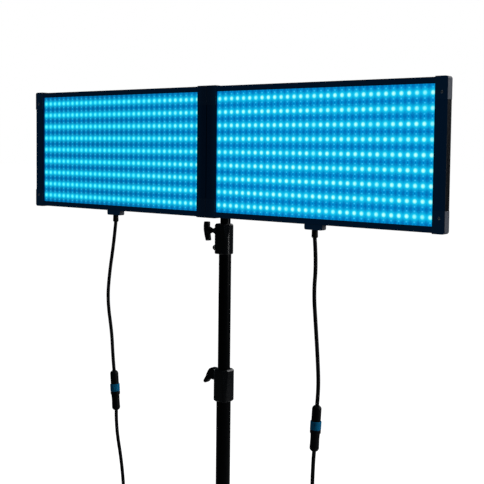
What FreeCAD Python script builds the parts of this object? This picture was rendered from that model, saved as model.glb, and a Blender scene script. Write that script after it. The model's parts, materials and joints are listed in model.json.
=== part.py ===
"""Two-panel LED light on a three-section light stand, in millimetres, +Z up.

The stand's axis is the Z axis and the floor is Z = 0. The panels face -Y and lie end to end along X.
Each function below makes the pieces of one sub-assembly and returns them as {node name: shape}.
"""

import FreeCAD
import Part
import math
import os

V = FreeCAD.Vector
X_AXIS, Y_AXIS, Z_AXIS = V(1, 0, 0), V(0, 1, 0), V(0, 0, 1)
SIDES = {"left": -1, "right": 1}

# --- light panels ---------------------------------------------------------------------------------
PANEL_LENGTH = 610.0
PANEL_HEIGHT = 305.0
PANEL_GAP = 1.0
PANEL_MID_Z = 1500.0
FRONT_Y = -74.0
BACK_Y = -56.0
RAIL_HEIGHT = 13.0
END_RAIL_WIDTH = 27.5
OUTER_CORNER = 5.5
LIP_THICKNESS = 2.0
RAIL_WALL = 2.5
BACK_PLATE = 2.0
RAIL_BACK_Y = BACK_Y - BACK_PLATE
GROOVE_DEPTH = 7.0
SHEET_Y = FRONT_Y + LIP_THICKNESS + 0.1
SHEET_THICKNESS = 1.0
BOARD_Y = -66.4
BOARD_THICKNESS = 1.6
STRIP_THICKNESS = 0.6
STRIP_HEIGHT = 9.0
STRIP_COUNT = 19
STRIP_PITCH = 15.35
VENT_COUNT = 14
CAP_HEIGHT = 44.0
CAP_PROUD_Z = 1.6
CAP_PROUD_Y = 0.8
CAP_PROUD_END = 0.4
CAP_SCREW_FROM_END = 12.0
CAP_SCREW_Z = 122.8
INLET_SIZE = (46.5, 15.0, 11.5)
INLET_SHIFT = -2.2
INLET_FRONT_Y = -73.5
RELIEF_LENGTH = 17.0
RELIEF_SEAT = 0.8

# --- head: beam, tilt bracket and pivot -----------------------------------------------------------
BEAM_LENGTH = 1192.0
BEAM_DEPTH = 20.0
BEAM_HEIGHT = 40.0
BEAM_WALL = 2.0
BEAM_BACK_Y = BACK_Y + BEAM_DEPTH
SADDLE_X = (45.0, 300.0, 581.0)
SADDLE_WIDTH = 26.0
PLATE_THICKNESS = 3.0
BRACKET_PLATE = 4.0
EAR_INNER_X = 19.0
EAR_THICKNESS = 4.0
EAR_RADIUS = 16.0
PIVOT_BOLT_RADIUS = 4.0
BOLT_HEAD_RADIUS = 7.5
PIVOT_CLEARANCE = 0.05
LUG_HALF_WIDTH = 15.0
LUG_RADIUS = 14.0
WASHER_GAP = 0.15

# --- stand ----------------------------------------------------------------------------------------
TOP_RADIUS, MIDDLE_RADIUS, BOTTOM_RADIUS = 12.5, 15.0, 17.5
SLIDE_GAP = 0.4
TUBE_WALL = 2.1
TOP_TUBE_Z = (790.0, 1388.0)
MIDDLE_TUBE_Z = (470.0, 1315.0)
BOTTOM_TUBE_Z = (75.0, 962.0)
STUD_RADIUS = 7.94
STUD_SHOULDER_Z = 1400.0
STUD_TOP_Z = 1449.0
RECEIVER_RADIUS = 19.0
RECEIVER_Z = (1401.0, 1462.0)
RECEIVER_BORE_TOP_Z = 1450.0
RECEIVER_BORE_RADIUS = 8.0
UPPER_CLAMP_Z = (1255.0, 1328.0)
UPPER_CLAMP_HALF, UPPER_CLAMP_LEFT = 17.8, 22.3
UPPER_CLAMP_CORNERS = (8.0, 14.0)
UPPER_KNOB_Z = 1309.0
UPPER_BOLT_Z = 1268.2
UPPER_BOLT_FACE_X = -31.0
UPPER_FACET = (2.6, 1290.0)
LOWER_CLAMP_Z = (896.0, 975.0)
LOWER_CLAMP_HALF, LOWER_CLAMP_CORNER = 20.5, 11.0
LOWER_LEVER_Z = 958.0
LOWER_FACET = (2.9, 915.0)
FACET_AZIMUTH = -38.0
KNOB_SCREW_RADIUS = 3.0
SCREW_CLEARANCE = 0.06
CLAMP_TOP_CHAMFER = 3.2

# --- tripod base ----------------------------------------------------------------------------------
LEG_AZIMUTHS = {"a": 0.0, "b": 120.0, "c": 240.0}
LEG_ANGLE = 42.0
PIVOT_RADIUS = 42.0
COLLAR_PIVOT_Z = 495.0
HUB_PIVOT_Z = 95.0
FOOT_BALL_Z = 12.5
FOOT_RADIUS = 13.0
LEG_RADIUS = 10.0
LEG_WALL = 1.6
LEG_TOP = 6.0
LEG_LENGTH = (COLLAR_PIVOT_Z - FOOT_BALL_Z) / math.cos(math.radians(LEG_ANGLE))
BRACE_LENGTH = (COLLAR_PIVOT_Z - HUB_PIVOT_Z) / (2.0 * math.cos(math.radians(LEG_ANGLE)))
COLLAR_RADIUS = 25.0
COLLAR_HALF_HEIGHT = 20.0
EAR_OFFSET = 10.6
COLLAR_EAR_THICKNESS = 4.0
LUG_HALF = 10.3
BRACE_OFFSET = 10.8
BRACE_THICKNESS = 3.0
BRACE_HALF_WIDTH = 7.0
PIN_RADIUS = 3.0

# --- cords ----------------------------------------------------------------------------------------
CORD_RADIUS = 4.4
CORD_Y = -67.0
CORD_END_GAP = 0.3
CONNECTOR_LENGTH = 102.0
CONNECTOR_RADIUS = 10.4
RING_RADIUS = 12.2
RING_BORE = 8.3
RING_NECK = 8.0
RING_LENGTH = 18.5
PLUG_LENGTH = 34.6
COLLAR_LENGTH = 8.5
NOSE_RADIUS = 6.0
COIL_TURNS_PER_LAYER = 3
COIL_OUTER_TURN = 52.0
COIL_Z = (0.0, 18.0)
COIL_TAIL = 46.0
COIL_TAIL_Z = 12.4
END_BODY_LENGTH = 34.0
END_NOSE_LENGTH = 12.0

# Control points of the two cords on each side, from the light down. A connector lies between them.
PIGTAIL = {
    "left": [
        (-306.5, CORD_Y, 1319.0), (-312.5, CORD_Y, 1270.0), (-331.0, -66.0, 1180.0),
        (-337.0, -66.0, 1112.0), (-319.0, -67.5, 1030.0), (-315.5, -67.5, 975.0),
        (-311.0, CORD_Y, 934.3),
    ],
    "right": [
        (303.5, CORD_Y, 1319.0), (308.5, CORD_Y, 1265.0), (302.5, -66.0, 1200.0),
        (309.0, -66.0, 1130.0), (317.0, -67.5, 1050.0), (320.0, -67.5, 992.0),
        (316.3, CORD_Y, 955.6),
    ],
}
SUPPLY = {
    "left": [
        (-302.4, CORD_Y, 832.3), (-302.6, -67.5, 788.0), (-280.0, -69.0, 702.0),
        (-268.0, -71.0, 615.0), (-271.0, -71.0, 515.0), (-283.0, -68.0, 415.0),
        (-290.0, -64.0, 312.0), (-289.0, -60.0, 215.0), (-287.5, -58.0, 132.0),
        (-288.0, -54.0, 62.0), (-288.0, -22.0, 14.0), (-288.0, 30.0, 4.6), (-288.0, 60.0, 4.6),
    ],
    "right": [
        (310.5, CORD_Y, 853.8), (307.5, -67.5, 806.0), (309.0, -69.0, 725.0),
        (319.0, -71.0, 635.0), (321.0, -69.0, 530.0), (313.0, -66.0, 430.0),
        (306.0, -68.0, 330.0), (308.0, -73.0, 232.0), (312.5, -78.0, 142.0),
        (312.0, -84.0, 64.0), (312.0, -116.0, 14.0), (312.0, -168.0, 4.6), (312.0, -198.0, 4.6),
    ],
}


# --- shared shape helpers -------------------------------------------------------------------------
def block(low, high):
    """A box between two corners."""
    size = [high[i] - low[i] for i in range(3)]
    return Part.makeBox(size[0], size[1], size[2], V(*low))


def rod(radius, start, end):
    """A solid cylinder from one point to another."""
    start, end = V(*start), V(*end)
    return Part.makeCylinder(radius, (end - start).Length, start, end - start)


def pipe(outer, inner, z_low, z_high):
    """An upright tube on the stand's axis."""
    return rod(outer, (0, 0, z_low), (0, 0, z_high)).cut(rod(inner, (0, 0, z_low - 1), (0, 0, z_high + 1)))


def prism(points, push):
    """A straight prism on a flat outline."""
    corners = [V(*p) for p in points]
    return Part.Face(Part.makePolygon(corners + corners[:1])).extrude(V(*push))


def turned(profile, origin, direction):
    """A solid of revolution: (along, radius) pairs, turned about a line through the origin given."""
    corners = [V(profile[0][0], 0, 0)] + [V(a, r, 0) for a, r in profile] + [V(profile[-1][0], 0, 0)]
    face = Part.Face(Part.makePolygon(corners + corners[:1]))
    solid = face.revolve(V(0, 0, 0), X_AXIS, 360)
    solid.Placement = FreeCAD.Placement(V(*origin), FreeCAD.Rotation(X_AXIS, V(*direction)))
    return solid


def rounded(shape, radius, chosen):
    """Fillets the edges for which chosen(edge) is true."""
    return shape.makeFillet(radius, [e for e in shape.Edges if chosen(e)])


def chamfered(shape, size, chosen):
    """Chamfers the edges for which chosen(edge) is true."""
    return shape.makeChamfer(size, [e for e in shape.Edges if chosen(e)])


def along(axis):
    """A test for straight edges that run along an axis."""
    def test(edge):
        if not isinstance(edge.Curve, Part.Line):
            return False
        return abs(abs(edge.tangentAt(edge.FirstParameter).dot(axis)) - 1) < 1e-6
    return test


def group(shapes):
    return Part.makeCompound(shapes)


def panel_span(side):
    """The panel's left and right end in X."""
    near = PANEL_GAP / 2
    return (near, near + PANEL_LENGTH) if side == "right" else (-near - PANEL_LENGTH, -near)


def corner_rounded(shape, x_outer, radius):
    """Rounds the corners at a panel's end, seen from the front; those at the joint stay square."""
    if abs(x_outer) < PANEL_GAP:
        return shape
    return rounded(shape, radius, lambda e: along(Y_AXIS)(e) and abs(e.CenterOfMass.x - x_outer) < 1.0)


# --- light panels ---------------------------------------------------------------------------------
def long_rail(x_low, x_high, outward):
    """A top (+1) or bottom (-1) rail: a lip in front, a wall outside, open behind."""
    edge_z = PANEL_MID_Z + outward * PANEL_HEIGHT / 2
    inner_z, wall_z = edge_z - outward * RAIL_HEIGHT, edge_z - outward * RAIL_WALL
    z_pair = sorted((inner_z, edge_z))
    rail = block((x_low, FRONT_Y, z_pair[0]), (x_high, RAIL_BACK_Y, z_pair[1]))

    def front_outer(edge):
        middle = edge.CenterOfMass
        return along(X_AXIS)(edge) and abs(middle.z - edge_z) < 1e-6 and middle.y < FRONT_Y + 1e-6

    rail = rounded(rail, 1.8, front_outer)
    groove = sorted((inner_z - outward, wall_z))
    return rail.cut(block((x_low - 1, FRONT_Y + LIP_THICKNESS, groove[0]),
                          (x_high + 1, RAIL_BACK_Y + 1, groove[1])))


def end_rail(x_outer, inward):
    """An upright rail at a panel's end, wide enough to carry the electronics' edge."""
    x_inner, x_wall = x_outer + inward * END_RAIL_WIDTH, x_outer + inward * RAIL_WALL
    z_low, z_high = PANEL_MID_Z - PANEL_HEIGHT / 2, PANEL_MID_Z + PANEL_HEIGHT / 2
    xs = sorted((x_outer, x_inner))
    rail = block((xs[0], FRONT_Y, z_low), (xs[1], RAIL_BACK_Y, z_high))

    def front_outer(edge):
        middle = edge.CenterOfMass
        return along(Z_AXIS)(edge) and abs(middle.x - x_outer) < 1e-6 and middle.y < FRONT_Y + 1e-6

    rail = corner_rounded(rounded(rail, 1.8, front_outer), x_outer, OUTER_CORNER)
    hollow = sorted((x_wall, x_inner + inward))
    return rail.cut(block((hollow[0], FRONT_Y + LIP_THICKNESS, z_low + RAIL_WALL),
                          (hollow[1], RAIL_BACK_Y + 1, z_high - RAIL_WALL)))


def back_cover(x_low, x_high):
    """The rear plate, with two bands of upright vent slots."""
    half = PANEL_HEIGHT / 2
    plate = block((x_low, RAIL_BACK_Y, PANEL_MID_Z - half), (x_high, BACK_Y, PANEL_MID_Z + half))
    for x_outer in (x_low, x_high):
        plate = corner_rounded(plate, x_outer, OUTER_CORNER)
    slots = []
    for i in range(VENT_COUNT):
        x = x_low + 95 + i * (PANEL_LENGTH - 190) / (VENT_COUNT - 1)
        for z in (PANEL_MID_Z - 88, PANEL_MID_Z + 88):
            ends = [rod(2.0, (x, RAIL_BACK_Y - 1, z + s * 14), (x, BACK_Y + 1, z + s * 14)) for s in (-1, 1)]
            slots += ends + [block((x - 2, RAIL_BACK_Y - 1, z - 14), (x + 2, BACK_Y + 1, z + 14))]
    return plate.cut(slots)


def standoff_places(x_low):
    step = (PANEL_LENGTH - 120) / 3
    return [(x_low + 60 + i * step, PANEL_MID_Z + sign * 62) for i in range(4) for sign in (-1, 1)]


def panel(side):
    """One light panel: frame, rear plate, LED board with its strips, and the clear sheet."""
    x_low, x_high = panel_span(side)
    in_low, in_high = x_low + END_RAIL_WIDTH, x_high - END_RAIL_WIDTH
    rails = [long_rail(in_low, in_high, s) for s in (-1, 1)] + [end_rail(x_low, 1), end_rail(x_high, -1)]
    half = PANEL_HEIGHT / 2 - RAIL_HEIGHT + GROOVE_DEPTH
    deep = GROOVE_DEPTH
    z_low, z_high = PANEL_MID_Z - half, PANEL_MID_Z + half
    sheet = block((in_low - deep, SHEET_Y, z_low), (in_high + deep, SHEET_Y + SHEET_THICKNESS, z_high))
    board = block((in_low - deep, BOARD_Y, z_low), (in_high + deep, BOARD_Y + BOARD_THICKNESS, z_high))
    strips = []
    for i in range(STRIP_COUNT):
        z = PANEL_MID_Z + (i - (STRIP_COUNT - 1) / 2) * STRIP_PITCH
        strips.append(block((in_low + 0.5, BOARD_Y - STRIP_THICKNESS, z - STRIP_HEIGHT / 2),
                            (in_high - 0.5, BOARD_Y, z + STRIP_HEIGHT / 2)))
    return {
        side + "_frame": group(rails),
        side + "_back_cover": back_cover(x_low, x_high),
        side + "_led_board": board,
        side + "_led_strips": group(strips),
        side + "_front_sheet": sheet,
    }


def corner_cap(x_outer, inward, up, proud_end):
    """A thin moulded shell over one corner of a panel, proud of the rails."""
    edge_z = PANEL_MID_Z + up * PANEL_HEIGHT / 2
    xs = sorted((x_outer - inward * proud_end, x_outer + inward * END_RAIL_WIDTH))
    zs = sorted((edge_z + up * CAP_PROUD_Z, edge_z - up * CAP_HEIGHT))
    shell = block((xs[0], FRONT_Y - CAP_PROUD_Y, zs[0]), (xs[1], BACK_Y + CAP_PROUD_Y, zs[1]))
    body = sorted((x_outer, x_outer + inward * (END_RAIL_WIDTH + 1)))
    body_z = sorted((edge_z, edge_z - up * (CAP_HEIGHT + 1)))
    filling = block((body[0], FRONT_Y, body_z[0]), (body[1], BACK_Y, body_z[1]))
    if proud_end:
        def corner(edge):
            middle = edge.CenterOfMass
            near_end = abs(middle.x - x_outer) < 2 * CAP_PROUD_Z
            near_edge = abs(middle.z - edge_z) < 2 * CAP_PROUD_Z
            return along(Y_AXIS)(edge) and near_end and near_edge

        shell = rounded(shell, OUTER_CORNER + proud_end, corner)
        filling = rounded(filling, OUTER_CORNER, corner)
    return rounded(shell, 0.7, lambda e: True).cut(filling)


def panel_trim():
    """Corner caps, their screws, standoffs, power inlets and strain reliefs."""
    caps, screws, standoffs, inlets, reliefs = [], [], [], [], []
    for side in SIDES:
        x_low, x_high = panel_span(side)
        for x_outer, inward in ((x_low, 1), (x_high, -1)):
            at_joint = abs(x_outer) < PANEL_GAP
            for up in (-1, 1):
                caps.append(corner_cap(x_outer, inward, up, 0.0 if at_joint else CAP_PROUD_END))
                if not at_joint:
                    x, z = x_outer + inward * CAP_SCREW_FROM_END, PANEL_MID_Z + up * CAP_SCREW_Z
                    head_profile = [(0, 3.1), (0.6, 3.1), (1.2, 2.3), (1.5, 1.2)]
                    screws.append(turned(head_profile, (x, FRONT_Y - CAP_PROUD_Y, z), (0, -1, 0)))
        for x, z in standoff_places(x_low):
            standoffs.append(rod(3.0, (x, BOARD_Y + BOARD_THICKNESS, z), (x, RAIL_BACK_Y, z)))
        middle = (x_low + x_high) / 2
        bottom = PANEL_MID_Z - PANEL_HEIGHT / 2
        wide, deep, tall = INLET_SIZE
        left = middle + INLET_SHIFT - wide / 2
        inlet = block((left, INLET_FRONT_Y, bottom - tall), (left + wide, INLET_FRONT_Y + deep, bottom))
        inlets.append(rounded(inlet, 4.0, lambda e: along(Y_AXIS)(e) and e.CenterOfMass.z < bottom - 1))
        x, y, z = PIGTAIL[side][0]
        profile = [(0, 5.6), (1.6, 7.0), (3.5, 7.0), (RELIEF_LENGTH, 6.7)]
        relief = turned(profile, (x, y, z), (0, 0, 1))
        reliefs.append(relief.cut(rod(CORD_RADIUS + 0.15, (x, y, z - 1), (x, y, z + RELIEF_SEAT))))
    return {
        "corner_caps": group(caps), "cap_screws": group(screws), "board_standoffs": group(standoffs),
        "power_inlets": group(inlets), "strain_reliefs": group(reliefs),
    }


# --- head -----------------------------------------------------------------------------------------
def saddle(x):
    """A hat-shaped clamp over the beam, with a flange above and below it."""
    half, t = BEAM_HEIGHT / 2, PLATE_THICKNESS
    outline = [(-half - 22, 0), (-half - t, 0), (-half - t, BEAM_DEPTH + t), (half + t, BEAM_DEPTH + t),
               (half + t, 0), (half + 22, 0)]
    inner = [(half + 22, t), (half + 2 * t, t), (half + 2 * t, BEAM_DEPTH + 2 * t),
             (-half - 2 * t, BEAM_DEPTH + 2 * t), (-half - 2 * t, t), (-half - 22, t)]
    low = [(x - SADDLE_WIDTH / 2, BACK_Y + y, PANEL_MID_Z + z) for z, y in outline + inner]
    return prism(low, (SADDLE_WIDTH, 0, 0))


def round_screw(x, y, z):
    """A pan-head screw's head on a face that looks along +Y."""
    return turned([(0, 4.2), (1.4, 4.2), (2.5, 3.0), (2.9, 1.4)], (x, y, z), (0, 1, 0))


def head():
    """What joins the panels: joiner plates, cross beam, saddles, screws and the tilt bracket."""
    half_beam = BEAM_HEIGHT / 2
    beam = block((-BEAM_LENGTH / 2, BACK_Y, PANEL_MID_Z - half_beam),
                 (BEAM_LENGTH / 2, BEAM_BACK_Y, PANEL_MID_Z + half_beam))
    beam = rounded(beam, 2.5, along(X_AXIS))
    beam = beam.cut(block((-BEAM_LENGTH / 2 - 1, BACK_Y + BEAM_WALL, PANEL_MID_Z - half_beam + BEAM_WALL),
                          (BEAM_LENGTH / 2 + 1, BEAM_BACK_Y - BEAM_WALL, PANEL_MID_Z + half_beam - BEAM_WALL)))
    joiners, screws = [], []
    plate_top = BACK_Y + PLATE_THICKNESS
    for up in (-1, 1):
        z = PANEL_MID_Z + up * 76
        joiners.append(rounded(block((-28, BACK_Y, z - 27), (28, plate_top, z + 27)), 6.0, along(Y_AXIS)))
        screws += [round_screw(x, plate_top, z + dz) for x in (-17, 17) for dz in (-17, 17)]
    places = [s * x for x in SADDLE_X for s in (-1, 1)]
    saddles = [saddle(x) for x in places]
    screws += [round_screw(x, plate_top, PANEL_MID_Z + s * (half_beam + 15)) for x in places for s in (-1, 1)]

    ear_outer = EAR_INNER_X + EAR_THICKNESS
    plate_y = BEAM_BACK_Y + BRACKET_PLATE
    bracket = block((-ear_outer, BEAM_BACK_Y, PANEL_MID_Z - 20), (ear_outer, plate_y, PANEL_MID_Z + 20))
    for sign in (-1, 1):
        x_pair = sorted((sign * EAR_INNER_X, sign * ear_outer))
        ear = block((x_pair[0], BEAM_BACK_Y, PANEL_MID_Z - EAR_RADIUS),
                    (x_pair[1], 0, PANEL_MID_Z + EAR_RADIUS))
        ear = ear.fuse(rod(EAR_RADIUS, (x_pair[0], 0, PANEL_MID_Z), (x_pair[1], 0, PANEL_MID_Z)))
        bracket = bracket.fuse(ear)
    hole = PIVOT_BOLT_RADIUS
    bracket = bracket.cut(rod(hole, (-40, 0, PANEL_MID_Z), (40, 0, PANEL_MID_Z))).removeSplitter()
    washers = [rod(LUG_RADIUS, (sign * (LUG_HALF_WIDTH + WASHER_GAP), 0, PANEL_MID_Z),
                   (sign * EAR_INNER_X, 0, PANEL_MID_Z))
               .cut(rod(hole, (-40, 0, PANEL_MID_Z), (40, 0, PANEL_MID_Z))) for sign in (-1, 1)]
    bolt = rod(hole, (-ear_outer, 0, PANEL_MID_Z), (ear_outer + 12, 0, PANEL_MID_Z))
    corners = [math.radians(60 * i) for i in range(6)]
    hexagon = [(-ear_outer, BOLT_HEAD_RADIUS * math.cos(a), PANEL_MID_Z + BOLT_HEAD_RADIUS * math.sin(a))
               for a in corners]
    bolt = bolt.fuse(prism(hexagon, (-5.5, 0, 0)))
    return {
        "cross_beam": beam, "joiner_plates": group(joiners), "beam_clamps": group(saddles),
        "frame_screws": group(screws), "tilt_bracket": bracket, "tilt_washers": group(washers),
        "tilt_bolt": bolt, "tilt_lever": tilt_lever(ear_outer),
    }


def tilt_lever(ear_outer):
    """The clamping lever on the pivot bolt's right end, its arm hanging down."""
    start = ear_outer + 0.3
    hub = turned([(0, 9.0), (9, 9.0), (13, 7.5), (15, 5.5)], (start, 0, PANEL_MID_Z), (1, 0, 0))
    arm = turned([(0, 5.0), (20, 4.0), (40, 4.6), (54, 5.6), (59, 4.6), (61, 2.5)],
                 (start + 6, 0, PANEL_MID_Z), (0.1, 0, -1))
    bore = rod(PIVOT_BOLT_RADIUS + PIVOT_CLEARANCE,
               (start - 1, 0, PANEL_MID_Z), (ear_outer + 12.3, 0, PANEL_MID_Z))
    return hub.fuse(arm).cut(bore)


def lobed_knob(start, direction, screw_length):
    """A three-lobed clamping knob with its screw; start is the middle of its inner face."""
    start, direction = V(*start), V(*direction)
    base = start + direction * 4
    knob = turned([(0, 6.5), (4, 6.5), (4.01, 9.0)], start, direction)
    knob = knob.fuse(turned([(0, 9), (1.5, 10.5), (12.5, 10.5), (14, 9)], base, direction))
    side = direction.cross(Z_AXIS)
    for i in range(3):
        angle = math.radians(90 + 120 * i)
        centre = base + side * (8.5 * math.cos(angle)) + Z_AXIS * (8.5 * math.sin(angle))
        knob = knob.fuse(turned([(0, 5.5), (1.5, 7), (12.5, 7), (14, 5.5)], centre, direction))
    screw = rod(KNOB_SCREW_RADIUS, start - direction * screw_length, start + direction * 2)
    return knob.fuse(screw).removeSplitter()


def receiver():
    """The socket on the stud, its lug on the tilt pivot, and its knob behind."""
    z_low, z_high = RECEIVER_Z
    body = rod(RECEIVER_RADIUS, (0, 0, z_low), (0, 0, z_high))
    body = chamfered(body, 2.0, lambda e: isinstance(e.Curve, Part.Circle))
    lug = block((-LUG_HALF_WIDTH, -LUG_RADIUS, z_high - 6), (LUG_HALF_WIDTH, LUG_RADIUS, PANEL_MID_Z))
    lug = lug.fuse(rod(LUG_RADIUS, (-LUG_HALF_WIDTH, 0, PANEL_MID_Z), (LUG_HALF_WIDTH, 0, PANEL_MID_Z)))
    knob_z = 1425.0
    boss = rod(9.5, (0, 10, knob_z), (0, 23, knob_z))
    body = body.fuse([lug, boss])
    body = body.cut([
        rod(RECEIVER_BORE_RADIUS, (0, 0, z_low - 1), (0, 0, RECEIVER_BORE_TOP_Z)),
        rod(PIVOT_BOLT_RADIUS + PIVOT_CLEARANCE, (-20, 0, PANEL_MID_Z), (20, 0, PANEL_MID_Z)),
        rod(KNOB_SCREW_RADIUS + SCREW_CLEARANCE, (0, 0, knob_z), (0, 30, knob_z)),
    ]).removeSplitter()
    return {"receiver_body": body, "receiver_knob": lobed_knob((0, 23.4, knob_z), (0, 1, 0), 13.0)}


# --- stand ----------------------------------------------------------------------------------------
def clamp_casting(left, half, corners, z_low, z_high, bottom_chamfer, tube_radius, tube_top, neck_radius,
                  cuts, bosses):
    """A rounded casting on top of one tube, with a sleeve bore for the tube above it."""
    body = block((-left, -half, z_low), (half, half, z_high))
    for sign, corner in zip((-1, 1), corners):
        body = rounded(body, corner, lambda e: along(Z_AXIS)(e) and e.CenterOfMass.x * sign > half - 1)
    body = chamfered(body, bottom_chamfer, lambda e: e.BoundBox.ZMax < z_low + 1e-6)
    body = chamfered(body, CLAMP_TOP_CHAMFER, lambda e: e.BoundBox.ZMin > z_high - 1e-6)
    body = body.fuse(bosses)
    bores = [rod(tube_radius, (0, 0, z_low - 1), (0, 0, tube_top)),
             rod(neck_radius, (0, 0, z_low), (0, 0, z_high + 1))]
    return body.cut(bores + cuts).removeSplitter()


def corner_facet(half, corner, facet, z_high):
    """The wedge that flattens a casting's right front corner towards its top; facet is (depth, low z)."""
    depth, z_low = facet
    turn = math.radians(FACET_AZIMUTH)
    reach = (half - corner) * (math.cos(turn) - math.sin(turn)) + corner
    return spun(prism([(reach, -40, z_low), (reach - depth, -40, z_high + 1), (reach + 20, -40, z_high + 1),
                       (reach + 20, -40, z_low)], (0, 80, 0)), FACET_AZIMUTH)


def upper_clamp():
    """The clamp between middle and top tube, its T-shaped knob on the left and its cross bolt."""
    z = UPPER_KNOB_Z
    boss = turned([(0, 11.0), (4, 10.6), (17.5, 5.4)], (-20, 0, z), (-1, 0, 0))
    bolt_boss = rod(7.6, (-16, 0, UPPER_BOLT_Z), (UPPER_BOLT_FACE_X, 0, UPPER_BOLT_Z))
    slot = block((-1.2, 10, UPPER_CLAMP_Z[0] - 1), (1.2, 30, UPPER_CLAMP_Z[1] + 1))
    screw_hole = rod(KNOB_SCREW_RADIUS + SCREW_CLEARANCE, (-10, 0, z), (-40, 0, z))
    facet = corner_facet(UPPER_CLAMP_HALF, UPPER_CLAMP_CORNERS[1], UPPER_FACET, UPPER_CLAMP_Z[1])
    body = clamp_casting(UPPER_CLAMP_LEFT, UPPER_CLAMP_HALF, UPPER_CLAMP_CORNERS, *UPPER_CLAMP_Z, 1.6,
                         MIDDLE_RADIUS, MIDDLE_TUBE_Z[1], TOP_RADIUS + SLIDE_GAP,
                         [slot, screw_hole, facet], [boss, bolt_boss])
    neck = turned([(0, 5.2), (1.5, 5.2), (10, 8.8), (15, 8.8)], (-38.2, 0, z), (-1, 0, 0))
    outline = [(-51.2, 21.0), (-51.4, 9), (-49.2, -9), (-47.2, -25.0), (-58.0, -25.8), (-61.8, -14),
               (-65.0, 0), (-65.3, 11), (-64.0, 21.0)]
    wing = prism([(px, -5.5, z + pz) for px, pz in outline], (0, 11, 0))
    wing = rounded(wing, 2.0, lambda e: True)
    knob = wing.fuse([neck, rod(KNOB_SCREW_RADIUS, (-16.5, 0, z), (-40, 0, z))]).removeSplitter()
    bolt = turned([(0, 6.6), (2.2, 6.3), (4.6, 4.9), (6.2, 2.6), (6.8, 0.9)],
                  (UPPER_BOLT_FACE_X, 0, UPPER_BOLT_Z), (-1, 0, 0))
    return {"upper_clamp": body, "upper_clamp_knob": knob, "upper_clamp_bolt": bolt}


def lower_clamp():
    """The clamp between bottom and middle tube, with its hooked lever on the left."""
    z = LOWER_LEVER_Z
    slot = block((-1.2, 12, LOWER_CLAMP_Z[0] - 1), (1.2, 32, LOWER_CLAMP_Z[1] + 1))
    screw_hole = rod(KNOB_SCREW_RADIUS + SCREW_CLEARANCE, (-10, 0, z), (-40, 0, z))
    facet = corner_facet(LOWER_CLAMP_HALF, LOWER_CLAMP_CORNER, LOWER_FACET, LOWER_CLAMP_Z[1])
    body = clamp_casting(LOWER_CLAMP_HALF, LOWER_CLAMP_HALF, (LOWER_CLAMP_CORNER, LOWER_CLAMP_CORNER),
                         *LOWER_CLAMP_Z, 3.5, BOTTOM_RADIUS, BOTTOM_TUBE_Z[1], MIDDLE_RADIUS + SLIDE_GAP,
                         [slot, screw_hole, facet], [])
    outline = [(-20.9, 972.0), (-28, 973.8), (-35, 973.4), (-41.6, 970.4), (-46.6, 964), (-50.4, 956.5),
               (-53.4, 949), (-59.8, 939.2), (-60.2, 934.8), (-54.8, 932.6), (-50.0, 935.4), (-45.5, 940.6),
               (-41.0, 944.0), (-35.0, 944.8), (-20.9, 943.8)]
    lever = prism([(px, -7, pz) for px, pz in outline], (0, 14, 0))
    lever = rounded(lever, 1.6, lambda e: e.CenterOfMass.x < -21.5)
    lever = lever.fuse(rod(KNOB_SCREW_RADIUS, (-18.5, 0, z), (-24, 0, z)))
    return {"lower_clamp": body, "lower_clamp_lever": lever}


def tubes():
    """The three stand sections and the stud on top."""
    neck_low, neck_high = 1419.0, 1431.0
    stud = [rod(TOP_RADIUS, (0, 0, TOP_TUBE_Z[1]), (0, 0, STUD_SHOULDER_Z)),
            rod(STUD_RADIUS, (0, 0, STUD_SHOULDER_Z), (0, 0, neck_low)),
            rod(STUD_RADIUS - 1.4, (0, 0, neck_low), (0, 0, neck_high)),
            rod(STUD_RADIUS, (0, 0, neck_high), (0, 0, STUD_TOP_Z)),
            rod(TOP_RADIUS - TUBE_WALL, (0, 0, TOP_TUBE_Z[1] - 25), (0, 0, TOP_TUBE_Z[1]))]
    top_stud = chamfered(stud[0].fuse(stud[1:]), 1.2, lambda e: e.BoundBox.ZMin > STUD_TOP_Z - 1e-6)
    return {
        "top_tube": pipe(TOP_RADIUS, TOP_RADIUS - TUBE_WALL, *TOP_TUBE_Z),
        "top_stud": top_stud,
        "middle_tube": pipe(MIDDLE_RADIUS, TOP_RADIUS + SLIDE_GAP, *MIDDLE_TUBE_Z),
        "bottom_tube": pipe(BOTTOM_RADIUS, MIDDLE_RADIUS + SLIDE_GAP, *BOTTOM_TUBE_Z),
    }


# --- tripod base ----------------------------------------------------------------------------------
def spun(shape, azimuth):
    """A copy turned about the stand's axis."""
    copy = shape.copy()
    copy.rotate(V(0, 0, 0), Z_AXIS, azimuth)
    return copy


def tangent_pin(z, half_length, radius):
    """A pivot pin across the first leg's plane, at the pivots' distance from the axis."""
    return rod(radius, (PIVOT_RADIUS, -half_length, z), (PIVOT_RADIUS, half_length, z))


def leg_and_foot():
    """The first leg, at azimuth 0: a tube on its pivot with a rubber foot."""
    direction = V(math.sin(math.radians(LEG_ANGLE)), 0, -math.cos(math.radians(LEG_ANGLE)))
    pivot = V(PIVOT_RADIUS, 0, COLLAR_PIVOT_Z)
    ball = pivot + direction * LEG_LENGTH
    tube_end = ball - direction * 6
    top = pivot - direction * LEG_TOP
    leg = rod(LEG_RADIUS, top, tube_end)
    leg = leg.cut(rod(LEG_RADIUS - LEG_WALL, top + direction * (2 * LEG_TOP + 3), tube_end + direction))
    leg = leg.cut(tangent_pin(COLLAR_PIVOT_Z, 20, PIN_RADIUS + PIVOT_CLEARANCE))
    foot = rod(FOOT_RADIUS, ball - direction * 42, ball).fuse(Part.makeSphere(FOOT_RADIUS, ball))
    foot = foot.cut(rod(LEG_RADIUS, ball - direction * 43, tube_end))
    foot = foot.cut(block((0, -50, -40), (900, 50, 0))).removeSplitter()
    return leg, foot


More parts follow.
